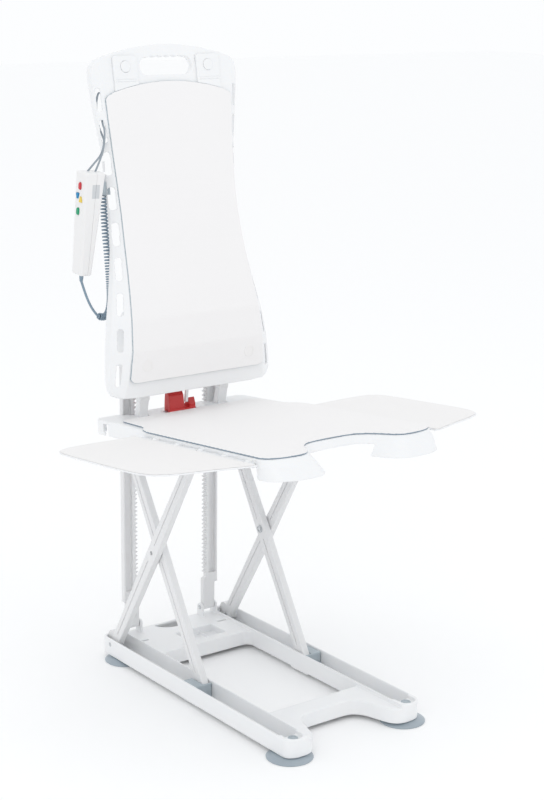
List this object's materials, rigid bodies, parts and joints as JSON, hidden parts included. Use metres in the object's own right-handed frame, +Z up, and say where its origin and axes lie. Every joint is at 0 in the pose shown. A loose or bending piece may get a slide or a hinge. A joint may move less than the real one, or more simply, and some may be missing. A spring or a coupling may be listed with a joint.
{
  "type": "battery bath lift",
  "caption": "Battery bath lift: white scissor-leg seat on a suction-cup base with folding side flaps, a rack-driven reclining backrest and a corded handset.",
  "frame": {"origin": "on the floor, under the centre of the overall footprint", "axes": "+Z up, -Y the front (where the sitter's feet point), +X the sitter's left"},
  "size_m": [0.711, 0.6452, 1.1297],
  "materials": {
    "white_plastic": "smooth satin injection moulding",
    "cover_foam": "soft matt washable skin",
    "cup_rubber": "smooth translucent grey-blue rubber",
    "grey_plastic": "satin",
    "steel": "turned",
    "red_plastic": "gloss",
    "blue_plastic": "gloss",
    "yellow_plastic": "gloss",
    "green_plastic": "gloss",
    "board": "resist coated",
    "battery": "shrink sleeve",
    "cord_rubber": "matt blue-grey jacket",
    "lanyard_web": "narrow woven tape"
  },
  "bodies": {
    "base": {"base_frame": "white_plastic", "suction_cups": "cup_rubber", "suction_cup_stems": "grey_plastic", "leg_base_pins": "steel", "rack_hinge_pins": "steel"},
    "outer_legs": {"outer_leg_left": "white_plastic", "outer_leg_right": "white_plastic", "scissor_pins": "steel", "seat_slide_pins": "steel"},
    "inner_legs": {"inner_leg_left": "white_plastic", "inner_leg_right": "white_plastic", "inner_leg_plugs": "grey_plastic", "base_slide_pins": "steel"},
    "base_slides": {"base_slides": "grey_plastic"},
    "seat_slides": {"seat_slides": "grey_plastic"},
    "seat": {"seat_shell": "white_plastic", "seat_rails": "white_plastic", "seat_cover": "cover_foam", "seat_pivot_pins": "steel", "flap_hinge_rods": "steel", "lock_lever_pin": "steel"},
    "flap_left": {"flap_left": "white_plastic", "flap_cover_left": "cover_foam"},
    "flap_right": {"flap_right": "white_plastic", "flap_cover_right": "cover_foam"},
    "lock_lever": {"lock_lever": "red_plastic"},
    "recline_shaft": {"backrest_hinge_bar": "steel"},
    "racks": {"rack_left": "white_plastic", "rack_right": "white_plastic"},
    "pinion_left": {"pinion_left": "grey_plastic", "pinion_shaft_left": "steel"},
    "pinion_right": {"pinion_right": "grey_plastic", "pinion_shaft_right": "steel"},
    "cross_shaft": {"cross_shaft": "steel"},
    "backrest": {"backrest_shell": "white_plastic", "backrest_arm_left": "white_plastic", "backrest_arm_right": "white_plastic", "backrest_cover": "cover_foam", "cover_snaps": "cover_foam", "accessory_blocks": "white_plastic", "accessory_caps": "white_plastic", "drive_housing": "white_plastic", "drive_cover": "white_plastic", "drive_cover_screws": "steel", "motor": "steel", "gearbox": "grey_plastic", "lever_post": "white_plastic", "handset_front_shell": "white_plastic", "handset_battery_shell": "white_plastic", "handset_board": "board", "battery_pack": "battery", "handset_strain_relief": "cord_rubber", "lanyard": "lanyard_web", "cord_socket": "grey_plastic", "curly_cord": "cord_rubber", "handset_lead": "cord_rubber"},
    "button_stop": {"button_stop": "red_plastic"},
    "button_down": {"button_down": "blue_plastic"},
    "button_up": {"button_up": "yellow_plastic"},
    "button_back": {"button_back": "green_plastic"}
  },
  "joints": [
    {"name": "scissor_lift", "type": "hinge", "parent": "base", "child": "outer_legs", "pos_m": [0, 0.2424, 0.0285], "axis": [1, 0, 0], "range_deg": [0, 56.4]},
    {"name": "scissor_cross", "type": "hinge", "parent": "outer_legs", "child": "inner_legs", "pos_m": [0, 0.1119, 0.244], "axis": [1, 0, 0], "range_deg": [-113, 0]},
    {"name": "seat_level", "type": "hinge", "parent": "inner_legs", "child": "seat", "pos_m": [0, 0.23487, 0.44707], "axis": [1, 0, 0], "range_deg": [0, 61.7]},
    {"name": "base_slide_turn", "type": "hinge", "parent": "inner_legs", "child": "base_slides", "pos_m": [0, -0.0186, 0.0285], "axis": [1, 0, 0], "range_deg": [0, 56.6]},
    {"name": "seat_slide_turn", "type": "hinge", "parent": "outer_legs", "child": "seat_slides", "pos_m": [0, -0.02547, 0.47085], "axis": [1, 0, 0], "range_deg": [-51.6, 0]},
    {"name": "backrest_level", "type": "hinge", "parent": "seat", "child": "recline_shaft", "pos_m": [0, 0.2364, 0.456], "axis": [1, 0, 0], "range_deg": [-5.3, 0]},
    {"name": "backrest_recline", "type": "hinge", "parent": "recline_shaft", "child": "backrest", "pos_m": [0, 0.2364, 0.456], "axis": [-1, 0, 0], "range_deg": [0, 40]},
    {"name": "rack_lean", "type": "hinge", "parent": "base", "child": "racks", "pos_m": [0, 0.2549, 0.052], "axis": [-1, 0, 0], "range_deg": [0, 40]},
    {"name": "flap_left_fold", "type": "hinge", "parent": "seat", "child": "flap_left", "pos_m": [0.1816, -0.03158, 0.48192], "axis": [0, -0.9958, 0.0912], "range_deg": [0, 86]},
    {"name": "flap_right_fold", "type": "hinge", "parent": "seat", "child": "flap_right", "pos_m": [-0.1816, -0.03158, 0.48192], "axis": [0, 0.9958, -0.0912], "range_deg": [0, 86]},
    {"name": "lever_tilt", "type": "hinge", "parent": "seat", "child": "lock_lever", "pos_m": [-0.007, 0.2104, 0.47], "axis": [1, 0, 0], "range_deg": [0, 20]},
    {"name": "pinion_left_turn", "type": "hinge", "parent": "backrest", "child": "pinion_left", "pos_m": [0.06, 0.2549, 0.594], "axis": [0, -1, 0], "range_deg": [0, 1806]},
    {"name": "pinion_right_turn", "type": "hinge", "parent": "backrest", "child": "pinion_right", "pos_m": [-0.06, 0.2549, 0.594], "axis": [0, 1, 0], "range_deg": [0, 1806]},
    {"name": "cross_shaft_turn", "type": "hinge", "parent": "backrest", "child": "cross_shaft", "pos_m": [0, 0.2394, 0.594], "axis": [1, 0, 0], "range_deg": [0, 1806]},
    {"name": "button_stop_press", "type": "slide", "parent": "backrest", "child": "button_stop", "axis": [0.9993, 0.0023, -0.0383], "range_m": [0, 0.0011], "stiffness_N_per_m": 900},
    {"name": "button_down_press", "type": "slide", "parent": "backrest", "child": "button_down", "axis": [0.9993, 0.0023, -0.0383], "range_m": [0, 0.0011], "stiffness_N_per_m": 900},
    {"name": "button_up_press", "type": "slide", "parent": "backrest", "child": "button_up", "axis": [0.9993, 0.0023, -0.0383], "range_m": [0, 0.0011], "stiffness_N_per_m": 900},
    {"name": "button_back_press", "type": "slide", "parent": "backrest", "child": "button_back", "axis": [0.9993, 0.0023, -0.0383], "range_m": [0, 0.0011], "stiffness_N_per_m": 900}
  ],
  "couplings": [
    {"joint": "scissor_cross", "follows": "scissor_lift", "ratio": -2},
    {"joint": "seat_level", "follows": "scissor_lift", "ratio": 1.0902},
    {"joint": "base_slide_turn", "follows": "scissor_lift", "ratio": 1},
    {"joint": "seat_slide_turn", "follows": "scissor_lift", "ratio": -0.9098},
    {"joint": "backrest_level", "follows": "scissor_lift", "ratio": -0.0902},
    {"joint": "pinion_left_turn", "follows": "scissor_lift", "ratio": 32},
    {"joint": "pinion_right_turn", "follows": "scissor_lift", "ratio": 32},
    {"joint": "cross_shaft_turn", "follows": "scissor_lift", "ratio": 32},
    {"joint": "rack_lean", "follows": "backrest_recline", "ratio": 1}
  ]
}
